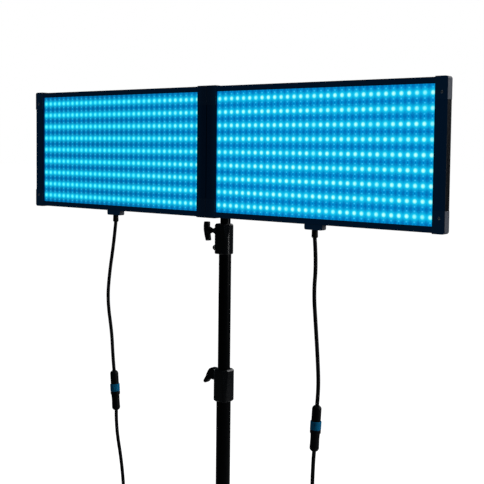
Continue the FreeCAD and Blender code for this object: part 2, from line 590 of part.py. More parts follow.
def brace():
    """The first brace: two flats astride the leg, each riveted at the top, holed at the hub."""
    lean = math.radians(LEG_ANGLE)
    solids = []
    for sign in (-1, 1):
        y_pair = sorted((sign * BRACE_OFFSET, sign * (BRACE_OFFSET + BRACE_THICKNESS)))
        flat = block((-BRACE_HALF_WIDTH, y_pair[0], 0), (BRACE_HALF_WIDTH, y_pair[1], BRACE_LENGTH))
        for z in (0, BRACE_LENGTH):
            flat = flat.fuse(rod(BRACE_HALF_WIDTH, (0, y_pair[0], z), (0, y_pair[1], z)))
        flat = flat.cut(rod(PIN_RADIUS + PIVOT_CLEARANCE, (0, -20, 0), (0, 20, 0)))
        outer = sign * (BRACE_OFFSET + BRACE_THICKNESS)
        rivet = turned([(0, 4.5), (1.2, 4.0), (2.0, 2.4)], (0, outer, BRACE_LENGTH), (0, sign, 0))
        solids.append(flat.fuse(rivet).removeSplitter())
    shape = group(solids)
    shape.rotate(V(0, 0, 0), Y_AXIS, math.degrees(lean))
    shape.translate(V(PIVOT_RADIUS, 0, HUB_PIVOT_Z))
    return shape


def base():
    """Hub, sliding collar with its knob, and three legs with feet and braces."""
    azimuths = list(LEG_AZIMUTHS.values())
    reach = PIVOT_RADIUS + 8
    lug = block((18, -LUG_HALF, HUB_PIVOT_Z - 8), (PIVOT_RADIUS, LUG_HALF, HUB_PIVOT_Z + 8))
    lug = lug.fuse(rod(8, (PIVOT_RADIUS, -LUG_HALF, HUB_PIVOT_Z), (PIVOT_RADIUS, LUG_HALF, HUB_PIVOT_Z)))
    lug = lug.cut(tangent_pin(HUB_PIVOT_Z, 20, PIN_RADIUS))
    hub = rod(COLLAR_RADIUS, (0, 0, 75), (0, 0, 115)).fuse([spun(lug, a) for a in azimuths])
    hub = hub.cut(rod(BOTTOM_RADIUS, (0, 0, 70), (0, 0, 120))).removeSplitter()

    z_low, z_high = COLLAR_PIVOT_Z - COLLAR_HALF_HEIGHT, COLLAR_PIVOT_Z + COLLAR_HALF_HEIGHT
    ears = []
    for sign in (-1, 1):
        y_pair = sorted((sign * EAR_OFFSET, sign * (EAR_OFFSET + COLLAR_EAR_THICKNESS)))
        ear = block((18, y_pair[0], COLLAR_PIVOT_Z - 8), (PIVOT_RADIUS, y_pair[1], COLLAR_PIVOT_Z + 8))
        ears.append(ear.fuse(rod(reach - PIVOT_RADIUS, (PIVOT_RADIUS, y_pair[0], COLLAR_PIVOT_Z),
                                 (PIVOT_RADIUS, y_pair[1], COLLAR_PIVOT_Z))))
    pin_hole = tangent_pin(COLLAR_PIVOT_Z, 20, PIN_RADIUS)
    ears = [e.cut(pin_hole) for e in ears]
    collar = rod(COLLAR_RADIUS, (0, 0, z_low), (0, 0, z_high))
    boss = rod(10, (-20, 0, COLLAR_PIVOT_Z), (-31, 0, COLLAR_PIVOT_Z))
    collar = collar.fuse([spun(e, a) for a in azimuths for e in ears] + [boss])
    screw_hole = rod(KNOB_SCREW_RADIUS + SCREW_CLEARANCE,
                     (-10, 0, COLLAR_PIVOT_Z), (-40, 0, COLLAR_PIVOT_Z))
    collar = collar.cut([rod(BOTTOM_RADIUS + SLIDE_GAP, (0, 0, z_low - 1), (0, 0, z_high + 1)), screw_hole])

    pin = tangent_pin(COLLAR_PIVOT_Z, EAR_OFFSET + COLLAR_EAR_THICKNESS + 1.5, PIN_RADIUS)
    hub_pin = tangent_pin(HUB_PIVOT_Z, BRACE_OFFSET + BRACE_THICKNESS + 1.8, PIN_RADIUS)
    leg, foot = leg_and_foot()
    one_brace = brace()
    nodes = {
        "bottom_hub": hub,
        "leg_collar": collar.removeSplitter(),
        "leg_collar_knob": lobed_knob((-31.4, 0, COLLAR_PIVOT_Z), (-1, 0, 0), 12.0),
        "leg_pins": group([spun(pin, a) for a in azimuths]),
        "brace_pins": group([spun(hub_pin, a) for a in azimuths]),
    }
    for letter, azimuth in LEG_AZIMUTHS.items():
        nodes["leg_" + letter] = spun(leg, azimuth)
        nodes["foot_" + letter] = spun(foot, azimuth)
        nodes["brace_" + letter] = spun(one_brace, azimuth)
    return nodes


# --- cords ----------------------------------------------------------------------------------------
def cord_tube(name, route):
    """A round tube along straight runs joined by tangent arcs, each as large as its runs allow."""
    points = [V(*p) for p in route]
    edges, radii, start = [], [], points[0]
    for before, corner, after in zip(points, points[1:], points[2:]):
        first, second = (before - corner), (after - corner)
        turn = math.pi - first.getAngle(second)
        cut = 0.45 * min(first.Length, second.Length)
        radii.append(cut / math.tan(turn / 2))
        first.normalize()
        second.normalize()
        enter, leave = corner + first * cut, corner + second * cut
        bisector = (first + second).normalize()
        centre = corner + bisector * math.hypot(radii[-1], cut)
        middle = centre - bisector * radii[-1]
        edges += [Part.LineSegment(start, enter).toShape(), Part.Arc(enter, middle, leave).toShape()]
        start = leave
    edges.append(Part.LineSegment(start, points[-1]).toShape())
    path = Part.Wire(edges)
    section = Part.Wire(Part.makeCircle(CORD_RADIUS, points[0], points[1] - points[0]))
    tube = path.makePipeShell([section], True, False)
    expected = math.pi * CORD_RADIUS ** 2 * path.Length
    print(f"{name}: length {path.Length:.0f} mm, smallest radius {min(radii):.0f} mm, "
          f"volume {tube.Volume / expected:.4f} of section times length")
    return tube


def connector_line(side):
    """The top of the in-line connector and the unit direction down it."""
    top, bottom = V(*PIGTAIL[side][-1]), V(*SUPPLY[side][0])
    return top, (bottom - top).normalize()


def blunt_end(start, step):
    """The rounded shoulder of a connector's body from where the cord enters it; step is its sense."""
    shoulder = [(0, CORD_RADIUS + 1.4), (0.8, CORD_RADIUS + 2.6), (2.2, CONNECTOR_RADIUS - 1.9),
                (4.0, CONNECTOR_RADIUS - 0.7), (6.5, CONNECTOR_RADIUS)]
    return [(start + step * distance, radius) for distance, radius in shoulder]


def connectors():
    """Upper and lower halves of the in-line connectors, with a lock ring on each."""
    plugs, sockets, nodes = [], [], {}
    for side in SIDES:
        top, down = connector_line(side)
        ring_start, ring_end = PLUG_LENGTH, PLUG_LENGTH + RING_LENGTH
        plugs.append(turned(blunt_end(CORD_END_GAP, 1) + [
            (ring_start - 0.3, CONNECTOR_RADIUS), (ring_start - 0.29, NOSE_RADIUS), (ring_end - 3, NOSE_RADIUS),
        ], top, down))
        collar_start, collar_end = ring_end + 0.3, ring_end + COLLAR_LENGTH
        socket = turned([
            (ring_start + 0.5, RING_NECK), (collar_start, RING_NECK), (collar_start + 0.01, RING_RADIUS - 0.9),
            (collar_start + 0.8, RING_RADIUS - 0.2), (collar_end - 0.8, RING_RADIUS - 0.2),
            (collar_end, CONNECTOR_RADIUS), (collar_end + 12, CONNECTOR_RADIUS - 0.5),
        ] + blunt_end(CONNECTOR_LENGTH - CORD_END_GAP, -1)[::-1], top, down)
        nose_bore = rod(NOSE_RADIUS + 0.1, top + down * (ring_start - 1), top + down * (ring_end - 2.5))
        sockets.append(socket.cut(nose_bore))
        ring = turned([(ring_start, RING_RADIUS - 0.8), (ring_start + 0.8, RING_RADIUS),
                       (ring_end - 0.8, RING_RADIUS), (ring_end, RING_RADIUS - 0.8)], top, down)
        ribs = []
        side_axis = down.cross(Y_AXIS).normalize()
        other = down.cross(side_axis)
        for i in range(16):
            angle = 2 * math.pi * i / 16
            offset = (side_axis * math.cos(angle) + other * math.sin(angle)) * (RING_RADIUS + 0.35)
            ribs.append(rod(0.9, top + down * (ring_start + 1) + offset, top + down * (ring_end - 1) + offset))
        bore = rod(RING_BORE, top + down * (ring_start - 1), top + down * (ring_end + 1))
        nodes[side + "_lock_ring"] = ring.cut(ribs + [bore])
    nodes["cord_plugs"] = group(plugs)
    nodes["cord_sockets"] = group(sockets)
    return nodes


def coil_frame(side):
    """The coil's centre and the direction in which the cord enters it, both in plan."""
    before, entry = V(*SUPPLY[side][-2]), V(*SUPPLY[side][-1])
    heading = V(entry.x - before.x, entry.y - before.y, 0).normalize()
    inward = V(heading.y, -heading.x, 0)
    return V(entry.x, entry.y, 0), heading, inward


def coils():
    """The coiled length of each supply cord and the connector on its far end, on the floor."""
    nodes = {}
    for side in SIDES:
        entry, heading, inward = coil_frame(side)
        centre = entry + inward * COIL_OUTER_TURN
        span = 2 * CORD_RADIUS * (COIL_TURNS_PER_LAYER - 1)
        outer, inner = COIL_OUTER_TURN + CORD_RADIUS, COIL_OUTER_TURN - span - CORD_RADIUS
        low, high = centre + V(0, 0, COIL_Z[0]), centre + V(0, 0, COIL_Z[1])
        ring = rod(outer, low, high).cut(rod(inner, low - Z_AXIS, high + Z_AXIS))
        tail_end = entry + heading * COIL_TAIL + V(0, 0, COIL_TAIL_Z)
        tail = rod(CORD_RADIUS, entry + V(0, 0, COIL_TAIL_Z), tail_end)
        nodes[side + "_coil"] = ring.fuse(tail).removeSplitter()
        shell_end = END_BODY_LENGTH + RING_LENGTH
        nodes[side + "_end_connector"] = turned(blunt_end(0, 1) + [
            (END_BODY_LENGTH, CONNECTOR_RADIUS), (END_BODY_LENGTH + 0.8, RING_RADIUS - 0.2),
            (shell_end - 0.8, RING_RADIUS - 0.2), (shell_end, 7.2), (shell_end + END_NOSE_LENGTH, 7.0),
        ], tail_end, heading)
    return nodes


def cords():
    """Every cord tube, connector and coil."""
    nodes = connectors()
    nodes.update(coils())
    for side in SIDES:
        nodes[side + "_pigtail"] = cord_tube(side + "_pigtail", PIGTAIL[side])
        nodes[side + "_supply_cord"] = cord_tube(side + "_supply_cord", SUPPLY[side])
    return nodes


def main():
    os.makedirs("parts", exist_ok=True)
    nodes = {}
    for made in (panel("left"), panel("right"), panel_trim(), head(), receiver(), upper_clamp(),
                 lower_clamp(), tubes(), base(), cords()):
        nodes.update(made)
    for name, shape in nodes.items():
        if not shape.isValid():
            print("not valid:", name)
        shape.exportStep(f"parts/{name}.step")
    box = group(list(nodes.values())).BoundBox
    sides = (box.XMin, box.YMin, box.ZMin, box.XMax, box.YMax, box.ZMax)
    print(len(nodes), "nodes, box", [round(v, 1) for v in sides])


main()
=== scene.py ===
"""Looks of the two-panel LED light on its stand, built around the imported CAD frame. Units are metres."""
import json
import math

import bpy
import numpy as np
from mathutils import Matrix, Vector


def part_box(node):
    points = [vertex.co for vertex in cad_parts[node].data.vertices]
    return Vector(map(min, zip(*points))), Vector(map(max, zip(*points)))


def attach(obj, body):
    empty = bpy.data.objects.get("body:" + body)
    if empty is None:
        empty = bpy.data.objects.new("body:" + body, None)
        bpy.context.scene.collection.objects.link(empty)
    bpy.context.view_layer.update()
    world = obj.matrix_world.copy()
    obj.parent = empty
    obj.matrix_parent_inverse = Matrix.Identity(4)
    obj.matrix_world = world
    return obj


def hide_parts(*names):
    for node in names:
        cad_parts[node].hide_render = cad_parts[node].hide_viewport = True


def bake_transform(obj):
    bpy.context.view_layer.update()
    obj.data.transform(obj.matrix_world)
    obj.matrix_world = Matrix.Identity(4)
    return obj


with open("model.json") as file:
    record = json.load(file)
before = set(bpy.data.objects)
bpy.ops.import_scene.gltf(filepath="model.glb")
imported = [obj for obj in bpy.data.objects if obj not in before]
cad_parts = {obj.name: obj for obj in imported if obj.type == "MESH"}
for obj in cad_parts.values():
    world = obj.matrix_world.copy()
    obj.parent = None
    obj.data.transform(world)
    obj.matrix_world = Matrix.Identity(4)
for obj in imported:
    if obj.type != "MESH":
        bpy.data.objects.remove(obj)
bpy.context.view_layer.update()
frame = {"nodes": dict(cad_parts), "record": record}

MM = 0.001

# --- camera ---------------------------------------------------------------------------------------
CAMERA_PLACE = (1.4309, -1.7484, 1.5095)
CAMERA_HEADING = 38.298
CAMERA_PITCH = -3.383
CAMERA_ROLL = 0.645
CAMERA_LENS = 70.06
CAMERA_SHIFT_Y = -0.0787

# --- light ----------------------------------------------------------------------------------------
# The surround is white to the camera and dim to everything else; the floor's own glow, near and far,
# is added for the camera only.
AMBIENT = 0.045
AMBIENT_TINT = (0.62, 0.86, 1.0)
FLOOR_GLOW = (0.80, 1.0)
FLOOR_GLOW_REACH = (0.7, 1.8)
FLOOR_HALF = 60
LIGHT_TARGET = (0, 0, 1.2)
# Each light's place, its size and its power in watts.
LIGHTS = {
    "overhead": ((0.2, 0.3, 4.2), (2.6, 2.6), 14),
    "right_strip": ((2.5, 0.9, 1.75), (0.25, 1.4), 28),
    "left_strip": ((-2.6, 1.2, 1.6), (0.3, 1.6), 6),
    "back": ((0.6, 2.8, 2.6), (2.0, 1.2), 35),
}

# --- light grid: one package every COLUMN_PITCH, rows lit and dim in turn --------------------------
SIDES = {"left": -1, "right": 1}
COLUMNS = 32
COLUMN_PITCH = 17.46 * MM
FIRST_COLUMN = 34.4 * MM
LIT_ROWS = 9
LIT_ROW_PITCH = 30.7 * MM
PANEL_MID_Z = 1.5
# A package is (half width, height, lens radius, lens height); a resistor is (half width, half height, depth).
LIT_PACKAGE = (2.5 * MM, 0.8 * MM, 2.1 * MM, 0.35 * MM)
DIM_PACKAGE = (1.8 * MM, 0.6 * MM, 1.3 * MM, 0.15 * MM)
RESISTOR = (1.5 * MM, 1.0 * MM, 0.45 * MM)
RESISTOR_OFFSET = 4.5 * MM

# --- cords: control points in millimetres, the same as in the CAD source ---------------------------
CORD_RADIUS = 4.4 * MM
CORD_Y = -67.0
PIGTAIL = {
    "left": [
        (-306.5, CORD_Y, 1319.0), (-312.5, CORD_Y, 1270.0), (-331.0, -66.0, 1180.0),
        (-337.0, -66.0, 1112.0), (-319.0, -67.5, 1030.0), (-315.5, -67.5, 975.0),
        (-311.0, CORD_Y, 934.3),
    ],
    "right": [
        (303.5, CORD_Y, 1319.0), (308.5, CORD_Y, 1265.0), (302.5, -66.0, 1200.0),
        (309.0, -66.0, 1130.0), (317.0, -67.5, 1050.0), (320.0, -67.5, 992.0),
        (316.3, CORD_Y, 955.6),
    ],
}
SUPPLY = {
    "left": [
        (-302.4, CORD_Y, 832.3), (-302.6, -67.5, 788.0), (-280.0, -69.0, 702.0),
        (-268.0, -71.0, 615.0), (-271.0, -71.0, 515.0), (-283.0, -68.0, 415.0),
        (-290.0, -64.0, 312.0), (-289.0, -60.0, 215.0), (-287.5, -58.0, 132.0),
        (-288.0, -54.0, 62.0), (-288.0, -22.0, 14.0), (-288.0, 30.0, 4.6), (-288.0, 60.0, 4.6),
    ],
    "right": [
        (310.5, CORD_Y, 853.8), (307.5, -67.5, 806.0), (309.0, -69.0, 725.0),
        (319.0, -71.0, 635.0), (321.0, -69.0, 530.0), (313.0, -66.0, 430.0),
        (306.0, -68.0, 330.0), (308.0, -73.0, 232.0), (312.5, -78.0, 142.0),
        (312.0, -84.0, 64.0), (312.0, -116.0, 14.0), (312.0, -168.0, 4.6), (312.0, -198.0, 4.6),
    ],
}
COIL_RADII = (52.0, 43.1, 34.2)
COIL_LAYER_Z = (4.6, 13.5)
COIL_POINTS_PER_TURN = 16
COIL_SHIFT_SHARE = 0.22
COIL_TAIL = ((22.0, 13.0), (46.0, 12.4))
# Heights at which a supply cord passes from one moving body to the next, each (from, to).
PAN_ZONE, TOP_SLIDE_ZONE, MIDDLE_SLIDE_ZONE = (0.815, 0.60), (0.59, 0.48), (0.465, 0.07)
TUBE_SIDES = 14


# --- node helpers ---------------------------------------------------------------------------------
def new_material(name):
    """A material, its tree and its principled shader."""
    material = bpy.data.materials.new(name)
    material.use_nodes = True
    return material, material.node_tree, material.node_tree.nodes["Principled BSDF"]


def put(tree, kind, inputs=None, **settings):
    """Adds a node, sets its properties, and fills its inputs with values or links."""
    node = tree.nodes.new(kind)
    for key, value in settings.items():
        setattr(node, key, value)
    for key, value in (inputs or {}).items():
        if isinstance(value, bpy.types.NodeSocket):
            tree.links.new(value, node.inputs[key])
        else:
            node.inputs[key].default_value = value
    return node


def math_node(tree, operation, first, second=0.0):
    return put(tree, "ShaderNodeMath", {0: first, 1: second}, operation=operation).outputs[0]


def object_position(tree, scale=(1, 1, 1)):
    """The object's own coordinates, stretched."""
    coordinates = put(tree, "ShaderNodeTexCoord").outputs["Object"]
    return put(tree, "ShaderNodeMapping", {"Vector": coordinates, "Scale": scale}).outputs[0]


def noise(tree, scale, detail=3.0, stretch=(1, 1, 1), roughness=0.55):
    """A 0 to 1 noise over the object's own coordinates."""
    inputs = {"Vector": object_position(tree, stretch), "Scale": scale, "Detail": detail,
              "Roughness": roughness}
    return put(tree, "ShaderNodeTexNoise", inputs).outputs["Fac"]


def ramp(tree, factor, stops):
    """A colour ramp with (place, colour) stops."""
    node = put(tree, "ShaderNodeValToRGB", {"Fac": factor})
    elements = node.color_ramp.elements
    while len(elements) < len(stops):
        elements.new(0.5)
    for element, (place, colour) in zip(elements, stops):
        element.position = place
        element.color = (*colour, 1.0)
    return node.outputs["Color"]


def remapped(tree, value, from_range, to_range=(0.0, 1.0), **settings):
    """Maps one range of values to another, held within it."""
    inputs = {"Value": value, "From Min": from_range[0], "From Max": from_range[1],
              "To Min": to_range[0], "To Max": to_range[1]}
    return put(tree, "ShaderNodeMapRange", inputs, **settings).outputs["Result"]


def spread(tree, factor, low, high):
    """Maps a 0 to 1 factor to low to high."""
    return remapped(tree, factor, (0.0, 1.0), (low, high))


def product(tree, first, second):
    return math_node(tree, "MULTIPLY", first, second)


def difference(tree, first, second):
    return math_node(tree, "SUBTRACT", first, second)


def scaled(colour, factor):
    return tuple(min(1.0, c * factor) for c in colour)


def blended(tree, factor, first, second):
    """A mix of two colours, each a tuple or a socket."""
    node = put(tree, "ShaderNodeMix", {0: factor}, data_type="RGBA")
    for key, colour in ((6, first), (7, second)):
        if isinstance(colour, tuple):
            node.inputs[key].default_value = (*colour, 1.0)
        else:
            tree.links.new(colour, node.inputs[key])
    return node.outputs[2]


# Edges count as worn from one bend of their normals to another, up to WEAR_MOST bare metal.
WEAR_BEND, WEAR_MOST = (0.04, 0.16), 0.6
# How far a face must turn to the X axis to take the painted side sheen, and to -Y to take the painted glow.
SIDE_LIGHT_FACING, PAINTED_GLOW_FACING = (0.25, 0.8), (-0.9, -0.2)
# The painted glow falls to the share given here at the joint between the panels, over these distances from
# the middle.
PAINTED_GLOW_REACH, PAINTED_GLOW_AT_JOINT = (0.012, 0.035), 0.5


def surface(name, colour, roughness, metallic=0.0, grain=400.0, grain_depth=0.03, stretch=(1, 1, 1),
            edge_radius=0.4 * MM, wear=None, specular=0.5, mottling=0.25, painted_glow=None, painted_side_light=None):
    """A hard surface: mottled colour, uneven gloss, a fine grain, softened edges and, if asked, worn ones.

    The glow colour, if given, is a painted glow that stands for the diodes' light spilling over faces
    that look the panels' way; the side colour, if given, is a lighter painted sheen on faces across the X
    axis, standing for side light.
    """
    material, tree, shader = new_material(name)
    broad = noise(tree, 18.0, 4.0)
    base = ramp(tree, broad, [(0.3, scaled(colour, 1 - mottling)), (0.7, scaled(colour, 1 + mottling))])
    fine = noise(tree, grain, 3.0, stretch)
    bevel = put(tree, "ShaderNodeBevel", {"Radius": edge_radius}, samples=4).outputs[0]
    bump = put(tree, "ShaderNodeBump", {"Height": fine, "Strength": grain_depth * 10, "Distance": 0.0002,
                                        "Normal": bevel}).outputs[0]
    rough = spread(tree, noise(tree, 55.0, 5.0), roughness - 0.07, roughness + 0.08)
    if wear:
        true_normal = put(tree, "ShaderNodeNewGeometry").outputs["Normal"]
        aligned = put(tree, "ShaderNodeVectorMath", {0: bevel, 1: true_normal},
                      operation="DOT_PRODUCT").outputs["Value"]
        patchy = product(tree, difference(tree, 1.0, aligned), noise(tree, 160.0, 6.0))
        base = blended(tree, remapped(tree, patchy, WEAR_BEND, (0.0, WEAR_MOST)), base, wear)
    # Painted sheen: faces across the X axis take a lighter colour that stands for the side light falling on
    # them.
    if painted_side_light:
        own_normal = put(tree, "ShaderNodeTexCoord").outputs["Normal"]
        across = put(tree, "ShaderNodeSeparateXYZ", {0: own_normal}).outputs["X"]
        side_light_share = remapped(tree, math_node(tree, "ABSOLUTE", across), SIDE_LIGHT_FACING)
        base = blended(tree, side_light_share, base, painted_side_light)
    tree.links.new(base, shader.inputs["Base Color"])
    tree.links.new(rough, shader.inputs["Roughness"])
    tree.links.new(bump, shader.inputs["Normal"])
    shader.inputs["Metallic"].default_value = metallic
    shader.inputs["Specular IOR Level"].default_value = specular
    # Painted glow: faces that look the panels' way shine faintly blue, standing for the diodes' light
    # spilling over them.
    if painted_glow:
        normal = put(tree, "ShaderNodeTexCoord").outputs["Normal"]
        facing = put(tree, "ShaderNodeSeparateXYZ", {0: normal}).outputs["Y"]
        share = remapped(tree, facing, PAINTED_GLOW_FACING, (1.0, 0.0))
        sideways = put(tree, "ShaderNodeSeparateXYZ", {0: object_position(tree)}).outputs["X"]
        nearness = remapped(tree, math_node(tree, "ABSOLUTE", sideways), PAINTED_GLOW_REACH, (PAINTED_GLOW_AT_JOINT, 1.0))
        share = product(tree, share, nearness)
        tree.links.new(blended(tree, share, (0.0, 0.0, 0.0), painted_glow), shader.inputs["Emission Color"])
        shader.inputs["Emission Strength"].default_value = 1.0
    return material


# --- light board ----------------------------------------------------------------------------------
GAP_BLUE, DEEP_BLUE = (0.0, 0.285, 0.68), (0.0, 0.155, 0.46)
PATCH_BLUE = (0.0, 0.135, 0.44)
COLUMN_BLUE = (0.0, 0.36, 0.77)
BAND_BLUE = (0.0, 0.47, 0.86)
HALO_CYAN = (0.015, 0.76, 1.0)
BORDER_BLUE = (0.0, 0.008, 0.045)
# Widths of the soft spots of painted light and shade in the board's glow, and how strongly each one covers
# what is under it.
PATCH_WIDTHS, PATCH_STRENGTH = (4.2 * MM, 6.0 * MM), 0.75
COLUMN_WIDTH, COLUMN_STRENGTH = 4.2 * MM, 0.7
BAND_WIDTH = 6.4 * MM
HALO_WIDTH, HALO_STRENGTH = 7.2 * MM, 0.92
# A few diodes fall back towards the halo's colour, by up to this share.
DIODE_VARIATION = 0.5
# From the left panel's look to the right one's, along X; the left panel's look is painted shade.
RIGHTNESS_REACH = (-0.3, 0.15)
# Between its rows the left panel's board is painted dimmer than the right one's: painted shade.
LEFT_PAINTED_SHADE = 0.74
# How far the painted glow reaches past the outermost columns, and over what width it fades.
LIT_MARGIN, MARGIN_FADE = 8.8 * MM, 1.6 * MM
# Dots are painted whiter on the right panel and less white on the left as painted shade, and cyan round their
# rims on both.
CORE_LEFT, CORE_RIGHT, CORE_RIM = (0.14, 0.93, 1.0), (0.60, 1.0, 1.0), (0.03, 0.92, 1.0)
CORE_EDGE = (3.7 * MM, 5.4 * MM)
CORE_WHITE = 3.9 * MM


def bell(tree, distance, width):
    """exp(-(distance / width) squared)."""
    ratio = math_node(tree, "DIVIDE", distance, width)
    return math_node(tree, "EXPONENT", product(tree, product(tree, ratio, ratio), -1.0))


def grid_steps(tree, value, first, pitch):
    """A coordinate counted in lines of a grid."""
    return math_node(tree, "DIVIDE", difference(tree, value, first), pitch)


def glow_colour(tree):
    """The lit board: a round core on each diode, and round them painted light, the diodes' light scattered
    over the board, drawn as a mottled blue glow with darker patches, bright bands along the lit rows and
    halos.
    """
    place = put(tree, "ShaderNodeSeparateXYZ", {0: object_position(tree)}).outputs
    columns = grid_steps(tree, math_node(tree, "ABSOLUTE", place["X"]), FIRST_COLUMN, COLUMN_PITCH)
    rows = grid_steps(tree, place["Z"], PANEL_MID_Z, LIT_ROW_PITCH)
    column, row = math_node(tree, "ROUND", columns), math_node(tree, "ROUND", rows)
    across = product(tree, difference(tree, columns, column), COLUMN_PITCH)
    up = product(tree, difference(tree, rows, row), LIT_ROW_PITCH)
    squares = math_node(tree, "ADD", product(tree, across, across), product(tree, up, up))
    distance = math_node(tree, "SQRT", squares)
    side = math_node(tree, "SIGN", place["X"])
    cell = put(tree, "ShaderNodeCombineXYZ", {0: column, 1: row, 2: side}).outputs[0]
    chance = put(tree, "ShaderNodeTexWhiteNoise", {"Vector": cell}).outputs["Value"]
    # Painted shade: the left panel's glow is drawn dimmer and its dots less white, standing for the diodes'
    # weaker light seen at that panel's angle.
    rightness = remapped(tree, place["X"], RIGHTNESS_REACH)

    # painted glow on the board between the rows, with painted darker patches and a brighter stripe along each
    # column
    mottled = ramp(tree, noise(tree, 330.0, 2.0, (1, 1, 1.3)), [(0.38, DEEP_BLUE), (0.62, GAP_BLUE)])
    to_seam = difference(tree, math_node(tree, "ABSOLUTE", across), COLUMN_PITCH / 2)
    to_gap = difference(tree, math_node(tree, "ABSOLUTE", up), LIT_ROW_PITCH / 2)
    patch = product(tree, bell(tree, to_seam, PATCH_WIDTHS[0]), bell(tree, to_gap, PATCH_WIDTHS[1]))
    patched = blended(tree, product(tree, patch, PATCH_STRENGTH), mottled, PATCH_BLUE)
    stripe = product(tree, bell(tree, across, COLUMN_WIDTH), COLUMN_STRENGTH)
    ground = blended(tree, stripe, patched, COLUMN_BLUE)
    ground = blended(tree, rightness, blended(tree, LEFT_PAINTED_SHADE, (0.0, 0.0, 0.0), ground), ground)

    # painted glow bands and halos, and the diodes' own cores
    band = blended(tree, bell(tree, up, BAND_WIDTH), ground, BAND_BLUE)
    halo = blended(tree, product(tree, bell(tree, distance, HALO_WIDTH), HALO_STRENGTH), band, HALO_CYAN)
    core = blended(tree, rightness, CORE_LEFT, CORE_RIGHT)
    core = blended(tree, bell(tree, distance, CORE_WHITE), CORE_RIM, core)
    fallen = product(tree, math_node(tree, "POWER", chance, 3.0), DIODE_VARIATION)
    core = blended(tree, fallen, core, HALO_CYAN)
    inside = remapped(tree, distance, CORE_EDGE, (1.0, 0.0), interpolation_type="SMOOTHSTEP")
    painted_halo_and_cores = blended(tree, inside, halo, core)

    # the painted glow fades to a faint blue in the dark border at the panel's ends
    from_ends = math_node(tree, "MINIMUM", columns, difference(tree, COLUMNS - 1, columns))
    margin = math_node(tree, "ADD", product(tree, from_ends, COLUMN_PITCH), LIT_MARGIN)
    return blended(tree, remapped(tree, margin, (0.0, MARGIN_FADE)), BORDER_BLUE, painted_halo_and_cores)


def glowing(name, make_colour, base_colour, strength=1.0):
    """A surface that shines by itself in the colour that make_colour builds."""
    material, tree, shader = new_material(name)
    tree.links.new(make_colour(tree), shader.inputs["Emission Color"])
    shader.inputs["Emission Strength"].default_value = strength
    shader.inputs["Base Color"].default_value = (*base_colour, 1.0)
    shader.inputs["Roughness"].default_value = 0.5
    shader.inputs["Specular IOR Level"].default_value = 0.2
    return material


def speckled(low, high):
    """Returns a maker of a colour that wanders between two tints."""
    return lambda tree: ramp(tree, noise(tree, 900.0, 2.0), [(0.3, low), (0.7, high)])


def clear_sheet():
    """Thin clear plastic: almost all see-through, with a soft gloss."""
    material, tree, shader = new_material("clear_sheet")
    smudges = spread(tree, noise(tree, 9.0, 5.0), 0.10, 0.22)
    tree.links.new(smudges, shader.inputs["Roughness"])
    shader.inputs["Base Color"].default_value = (0.0, 0.02, 0.05, 1.0)
    shader.inputs["Alpha"].default_value = 0.02
    shader.inputs["Specular IOR Level"].default_value = 0.2
    return material


def jacket():
    """Cord jacket: matt rubber with a faint lengthwise drag and small scuffs."""
    material, tree, shader = new_material("cord_jacket")
    scuffs = noise(tree, 120.0, 6.0, (1, 1, 0.25))
    base = ramp(tree, scuffs, [(0.35, (0.003, 0.003, 0.0036)), (0.62, (0.006, 0.006, 0.007)),
                               (0.8, (0.02, 0.02, 0.022))])
    bump = put(tree, "ShaderNodeBump", {"Height": noise(tree, 1500.0, 2.0), "Strength": 0.3,
                                        "Distance": 0.0001})
    tree.links.new(base, shader.inputs["Base Color"])
    tree.links.new(bump.outputs[0], shader.inputs["Normal"])
    tree.links.new(spread(tree, scuffs, 0.45, 0.65), shader.inputs["Roughness"])
    shader.inputs["Specular IOR Level"].default_value = 0.12
    return material


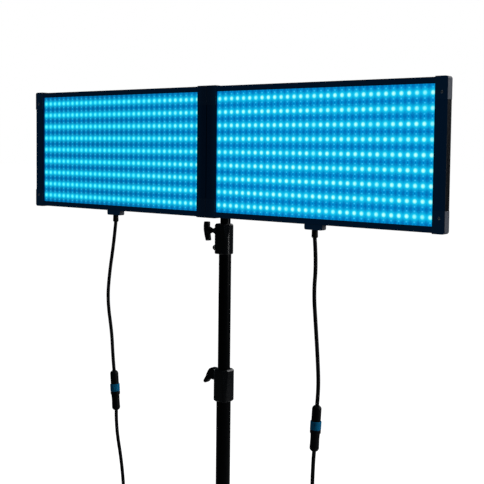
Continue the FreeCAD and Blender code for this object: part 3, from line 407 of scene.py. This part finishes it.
def make_materials():
    bare = (0.20, 0.21, 0.23)
    # Colour of the painted glow on faces that look the panels' way.
    painted_spill_glow = (0.0004, 0.0048, 0.014)
    return {
        "black_aluminium": surface(
            "black_anodised", (0.0018, 0.0028, 0.0048), 0.42, grain=240.0, grain_depth=0.02,
            stretch=(0.05, 1, 1), edge_radius=0.2 * MM, specular=0.06, painted_glow=painted_spill_glow),
        "black_sheet_metal": surface(
            "black_powder_coat", (0.008, 0.009, 0.011), 0.55, grain=900.0, grain_depth=0.07, wear=bare),
        "led_board": glowing("lit_board", glow_colour, (0.0, 0.005, 0.01)),
        "clear_sheet": clear_sheet(),
        "corner_plastic": surface(
            "corner_moulding", (0.006, 0.007, 0.010), 0.55, grain=1400.0, grain_depth=0.05,
            specular=0.15, painted_glow=painted_spill_glow, painted_side_light=(0.085, 0.093, 0.115)),
        "bright_steel": surface(
            "bright_zinc", (0.62, 0.63, 0.65), 0.3, 1.0, grain=300.0, grain_depth=0.02),
        "blackened_screw": surface(
            "blackened_screw", (0.36, 0.38, 0.42), 0.3, 1.0, grain=900.0, grain_depth=0.02),
        "dark_steel": surface("black_oxide", (0.022, 0.022, 0.024), 0.4, 0.7, grain=700.0, wear=bare),
        "stand_tube": surface(
            "tube_anodised", (0.0014, 0.0017, 0.0022), 0.30, grain=200.0, grain_depth=0.02,
            stretch=(1, 1, 0.03), specular=0.07),
        "stand_flat": surface(
            "brace_coat", (0.008, 0.008, 0.009), 0.5, grain=700.0, grain_depth=0.05, wear=bare),
        "clamp_casting": surface(
            "casting_coat", (0.0014, 0.0019, 0.0030), 0.27, grain=500.0, wear=bare, specular=0.34),
        "knob_plastic": surface(
            "nylon", (0.003, 0.0033, 0.004), 0.46, grain=1100.0, grain_depth=0.08, specular=0.14),
        "friction_fibre": surface("fibre", (0.06, 0.05, 0.04), 0.8, grain=1200.0, grain_depth=0.1),
        "foot_rubber": surface("foot_rubber", (0.012, 0.012, 0.012), 0.75, grain=800.0, grain_depth=0.12),
        "cord_rubber": jacket(),
        "connector_plastic": surface(
            "connector_moulding", (0.0025, 0.003, 0.004), 0.42, grain=1300.0, grain_depth=0.05,
            specular=0.12),
        "ring_plastic": surface(
            "blue_ring", (0.0, 0.19, 0.40), 0.45, grain=1300.0, grain_depth=0.04, specular=0.12,
            mottling=0.12),
    }


def dress_cad_nodes(materials):
    """Gives every carried-over CAD node the procedural material of its slot; the cap screws are blackened."""
    for part in frame["record"]["subparts"]:
        node = frame["nodes"][part["node"]]
        node.data.materials.clear()
        slot = "blackened_screw" if part["node"] == "cap_screws" else part["material_slot"]
        node.data.materials.append(materials[slot])


# --- mesh helpers ---------------------------------------------------------------------------------
def mesh_object(name, vertices, faces, materials, face_materials=None, smooth=True):
    mesh = bpy.data.meshes.new(name)
    mesh.from_pydata([tuple(v) for v in vertices], [], faces)
    for material in materials:
        mesh.materials.append(material)
    if face_materials is not None:
        mesh.polygons.foreach_set("material_index", face_materials)
    mesh.polygons.foreach_set("use_smooth", [smooth] * len(mesh.polygons))
    mesh.update()
    piece = bpy.data.objects.new(name, mesh)
    bpy.context.collection.objects.link(piece)
    return piece


def spline_points(route):
    """Points along the smooth line that has the route's points (metres) as control points."""
    curve = bpy.data.curves.new("route", "CURVE")
    curve.dimensions = "3D"
    spline = curve.splines.new("NURBS")
    spline.points.add(len(route) - 1)
    for point, place in zip(spline.points, route):
        point.co = (*place, 1.0)
    spline.order_u = 3
    spline.use_endpoint_u = True
    curve.resolution_u = 8
    holder = bpy.data.objects.new("route", curve)
    bpy.context.collection.objects.link(holder)
    bpy.context.view_layer.update()
    mesh = bpy.data.meshes.new_from_object(holder)
    points = np.array([v.co for v in mesh.vertices])
    bpy.data.objects.remove(holder)
    return points


def tube_rings(points, radius):
    """Rings of vertices round a line, carried along it without twist."""
    steps = np.gradient(points, axis=0)
    steps /= np.linalg.norm(steps, axis=1)[:, None]
    normal = np.cross(steps[0], (0.0, 1.0, 0.0))
    rings = []
    for point, step in zip(points, steps):
        normal = normal - step * normal.dot(step)
        normal /= np.linalg.norm(normal)
        other = np.cross(step, normal)
        angles = np.arange(TUBE_SIDES) * 2 * math.pi / TUBE_SIDES
        rings.append(point + radius * (np.cos(angles)[:, None] * normal + np.sin(angles)[:, None] * other))
    return np.array(rings)


def tube_piece(name, rings, material):
    """A closed tube through a run of rings."""
    count = len(rings)
    faces = []
    for i in range(count - 1):
        for j in range(TUBE_SIDES):
            k = (j + 1) % TUBE_SIDES
            near, far = i * TUBE_SIDES, (i + 1) * TUBE_SIDES
            faces.append((near + j, near + k, far + k, far + j))
    faces.append(tuple(reversed(range(TUBE_SIDES))))
    faces.append(tuple((count - 1) * TUBE_SIDES + j for j in range(TUBE_SIDES)))
    return mesh_object(name, rings.reshape(-1, 3), faces, [material])


def smooth_step(value):
    value = min(1.0, max(0.0, value))
    return value * value * (3 - 2 * value)


def coil_points(route):
    """Control points of the coil: three turns inward on the floor, then three outward on top of them."""
    before, entry = Vector(route[-2]), Vector(route[-1])
    heading = (entry - before).normalized()
    inward = Vector((heading.y, -heading.x, 0))
    centre = entry + inward * COIL_RADII[0]
    radii = list(COIL_RADII) + list(reversed(COIL_RADII))
    turns = len(radii)
    points = []
    for i in range(1, turns * COIL_POINTS_PER_TURN):
        turn, share = divmod(i / COIL_POINTS_PER_TURN, 1.0)
        turn = int(turn)
        shift = smooth_step((share - 1 + COIL_SHIFT_SHARE) / COIL_SHIFT_SHARE)
        following = radii[min(turn + 1, turns - 1)]
        radius = radii[turn] + (following - radii[turn]) * shift
        climb = shift if turn == turns // 2 - 1 else float(turn >= turns // 2)
        height = COIL_LAYER_Z[0] + (COIL_LAYER_Z[1] - COIL_LAYER_Z[0]) * climb
        angle = 2 * math.pi * i / COIL_POINTS_PER_TURN
        place = centre + (heading * math.sin(angle) - inward * math.cos(angle)) * radius
        points.append((place.x, place.y, height))
    for ahead, height in COIL_TAIL:
        place = entry + heading * ahead
        points.append((place.x, place.y, height))
    return points


def in_metres(route):
    return [tuple(c * MM for c in point) for point in route]


def pigtail_cord(side, material):
    """The short cord from the panel's inlet down to its in-line connector."""
    points = spline_points(in_metres(PIGTAIL[side]))
    piece = tube_piece(side + "_pigtail_cord", tube_rings(points, CORD_RADIUS), material)
    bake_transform(piece)
    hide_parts(side + "_pigtail")


def supply_cord(side, material):
    """The cord from the in-line connector to the floor and round its coil, cut where a joint's bend ends."""
    points = spline_points(in_metres(SUPPLY[side] + coil_points(SUPPLY[side])))
    rings = tube_rings(points, CORD_RADIUS)
    first = next(i for i, p in enumerate(points) if p[2] < (PAN_ZONE[1] + TOP_SLIDE_ZONE[0]) / 2)
    second = next(i for i, p in enumerate(points) if p[2] < (TOP_SLIDE_ZONE[1] + MIDDLE_SLIDE_ZONE[0]) / 2)
    runs = [
        ("upper", 0, first, "receiver", "top", PAN_ZONE),
        ("middle", first, second, "top", "middle", TOP_SLIDE_ZONE),
        ("lower", second, len(points) - 1, "middle", "root", MIDDLE_SLIDE_ZONE),
    ]
    for word, start, stop, above, below, zone in runs:
        piece = tube_piece(f"{side}_supply_{word}", rings[start:stop + 1], material)
        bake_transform(piece)
        last = word == "lower"
        if last:
            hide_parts(side + "_supply_cord", side + "_coil")
        else:
            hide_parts(side + "_supply_cord")


# --- diodes ---------------------------------------------------------------------------------------
def bevelled_block(half_x, half_z, height, bevel):
    """Vertices and faces of a block on the XZ plane, open at its back, with a bevel round its front."""
    vertices, faces = [], []
    for depth, shrink in ((0.0, 0.0), (height - bevel, 0.0), (height, bevel)):
        x, z = half_x - shrink, half_z - shrink
        vertices += [(-x, -depth, -z), (x, -depth, -z), (x, -depth, z), (-x, -depth, z)]
    for layer in range(2):
        for i in range(4):
            j = (i + 1) % 4
            faces.append((4 * layer + i, 4 * layer + j, 4 * layer + 4 + j, 4 * layer + 4 + i))
    faces.append((8, 9, 10, 11))
    return vertices, faces


def package_shape(half, height, lens_radius, lens_height, lens_sides=10):
    """One diode facing -Y, a bevelled square body with a low domed lens: vertices, faces, lens flags."""
    vertices, faces = bevelled_block(half, half, height, 0.25 * height)
    flags = [0] * len(faces)
    rows = 3
    base = len(vertices)
    for row in range(rows):
        lift = math.radians(90 * row / rows)
        for i in range(lens_sides):
            angle = 2 * math.pi * i / lens_sides
            reach = lens_radius * math.cos(lift)
            depth = height + lens_height * math.sin(lift)
            vertices.append((reach * math.cos(angle), -depth, reach * math.sin(angle)))
    vertices.append((0.0, -height - lens_height, 0.0))
    for row in range(rows - 1):
        for i in range(lens_sides):
            j = (i + 1) % lens_sides
            a, b = base + row * lens_sides, base + (row + 1) * lens_sides
            faces.append((a + i, a + j, b + j, b + i))
    top = base + rows * lens_sides
    last = base + (rows - 1) * lens_sides
    faces += [(last + i, last + (i + 1) % lens_sides, top) for i in range(lens_sides)]
    flags += [1] * (len(faces) - len(flags))
    return np.array(vertices), faces, flags


def chip_shape(half_x, half_z, height):
    """A small bevelled block facing -Y, as vertices, faces and flags."""
    vertices, faces = bevelled_block(half_x, half_z, height, 0.3 * height)
    return np.array(vertices), faces, [0] * len(faces)


def repeated(name, shape, places, materials):
    """One object holding a copy of a small shape at each place."""
    vertices, faces, flags = shape
    all_vertices = (np.array(places)[:, None, :] + vertices[None, :, :]).reshape(-1, 3)
    all_faces = [tuple(i + n * len(vertices) for i in face) for n in range(len(places)) for face in faces]
    return mesh_object(name, all_vertices, all_faces, materials, flags * len(places), smooth=False)


def diodes(side, sign, lit_body, lit_lens, dim_body, dim_lens_painted_glow, chip_material):
    """Lit and dim diode packages and the resistors beside the dim ones, on the CAD strips."""
    strip_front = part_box(side + "_led_strips")[0][1]
    columns = [sign * (FIRST_COLUMN + i * COLUMN_PITCH) for i in range(COLUMNS)]
    lit_rows = [PANEL_MID_Z + (i - (LIT_ROWS - 1) / 2) * LIT_ROW_PITCH for i in range(LIT_ROWS)]
    dim_rows = [PANEL_MID_Z + (i - LIT_ROWS / 2) * LIT_ROW_PITCH for i in range(LIT_ROWS + 1)]
    lit = [(x, strip_front, z) for z in lit_rows for x in columns]
    dim = [(x, strip_front, z) for z in dim_rows for x in columns]
    chips = [(x, strip_front, z + dz) for x, _, z in dim for dz in (-RESISTOR_OFFSET, RESISTOR_OFFSET)]
    pieces = [
        repeated(side + "_lit_diodes", package_shape(*LIT_PACKAGE), lit, [lit_body, lit_lens]),
        repeated(side + "_dim_diodes", package_shape(*DIM_PACKAGE), dim, [dim_body, dim_lens_painted_glow]),
        repeated(side + "_resistors", chip_shape(*RESISTOR), chips, [chip_material]),
    ]
    for piece in pieces:
        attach(piece, "head")


# --- stage, lights, camera ------------------------------------------------------------------------
def make_camera():
    heading, pitch = math.radians(CAMERA_HEADING), math.radians(CAMERA_PITCH)
    level = math.cos(pitch)
    forward = Vector((-math.sin(heading) * level, math.cos(heading) * level, math.sin(pitch)))
    upright = forward.to_track_quat("-Z", "Y").to_matrix()
    data = bpy.data.cameras.new("camera")
    data.lens = CAMERA_LENS
    data.shift_y = CAMERA_SHIFT_Y
    camera = bpy.data.objects.new("camera", data)
    turned = upright @ Matrix.Rotation(math.radians(CAMERA_ROLL), 3, "Z")
    camera.matrix_world = Matrix.Translation(CAMERA_PLACE) @ turned.to_4x4()
    bpy.context.collection.objects.link(camera)
    bpy.context.scene.camera = camera


def area_light(name, place, size, power):
    data = bpy.data.lights.new(name, "AREA")
    data.shape = "RECTANGLE"
    data.size, data.size_y = size
    data.energy = power
    light = bpy.data.objects.new(name, data)
    light.location = place
    light.rotation_euler = (Vector(LIGHT_TARGET) - Vector(place)).to_track_quat("-Z", "Y").to_euler()
    bpy.context.collection.objects.link(light)


def make_stage():
    """A wide pale floor, a white surround and soft light."""
    material, tree, shader = new_material("floor_paper")
    tint = ramp(tree, noise(tree, 3.0, 3.0), [(0.3, (0.50, 0.50, 0.50)), (0.7, (0.54, 0.54, 0.54))])
    tree.links.new(tint, shader.inputs["Base Color"])
    shader.inputs["Roughness"].default_value = 0.9
    reach = put(tree, "ShaderNodeVectorMath", {0: object_position(tree)}, operation="LENGTH").outputs["Value"]
    glow = remapped(tree, reach, FLOOR_GLOW_REACH, FLOOR_GLOW)
    seen = put(tree, "ShaderNodeEmission", {"Color": (1, 1, 1, 1), "Strength": glow}).outputs[0]
    lit = put(tree, "ShaderNodeAddShader", {0: shader.outputs[0], 1: seen}).outputs[0]
    direct = put(tree, "ShaderNodeLightPath").outputs["Is Camera Ray"]
    mixed = put(tree, "ShaderNodeMixShader", {0: direct, 1: shader.outputs[0], 2: lit}).outputs[0]
    tree.links.new(mixed, tree.nodes["Material Output"].inputs["Surface"])
    corners = [(x * FLOOR_HALF, y * FLOOR_HALF, 0) for x, y in ((-1, -1), (1, -1), (1, 1), (-1, 1))]
    mesh_object("floor", corners, [(0, 1, 2, 3)], [material], smooth=False)

    world = bpy.data.worlds.new("surround")
    world.use_nodes = True
    tree = world.node_tree
    tree.nodes.clear()
    seen = put(tree, "ShaderNodeBackground", {"Color": (1, 1, 1, 1), "Strength": 1.0}).outputs[0]
    lit = put(tree, "ShaderNodeBackground", {"Color": (*AMBIENT_TINT, 1), "Strength": AMBIENT}).outputs[0]
    direct = put(tree, "ShaderNodeLightPath").outputs["Is Camera Ray"]
    mixed = put(tree, "ShaderNodeMixShader", {0: direct, 1: lit, 2: seen}).outputs[0]
    put(tree, "ShaderNodeOutputWorld", {"Surface": mixed})
    bpy.context.scene.world = world

    for name, (place, size, power) in LIGHTS.items():
        area_light(name, place, size, power)


def main():
    bpy.context.scene.view_settings.view_transform = "Standard"
    make_camera()
    materials = make_materials()
    dress_cad_nodes(materials)
    for side in SIDES:
        pigtail_cord(side, materials["cord_rubber"])
        supply_cord(side, materials["cord_rubber"])
    base = (0.0, 0.01, 0.02)
    shine = [
        glowing("lit_package", glow_colour, base),
        glowing("lit_lens", glow_colour, base, 1.1),
        # The dim packages and the resistors are unlit; their blue glow is painted light, standing for the lit
        # rows' light falling on them.
        glowing("dim_package_painted_glow", speckled((0.0, 0.22, 0.60), (0.0, 0.30, 0.72)), base),
        glowing("dim_lens_painted_glow", speckled((0.0, 0.13, 0.44), (0.0, 0.20, 0.56)), base),
        glowing("resistor_painted_glow", speckled((0.02, 0.48, 0.92), (0.05, 0.62, 1.0)), base),
    ]
    for side, sign in SIDES.items():
        diodes(side, sign, *shine)
    make_stage()


main()
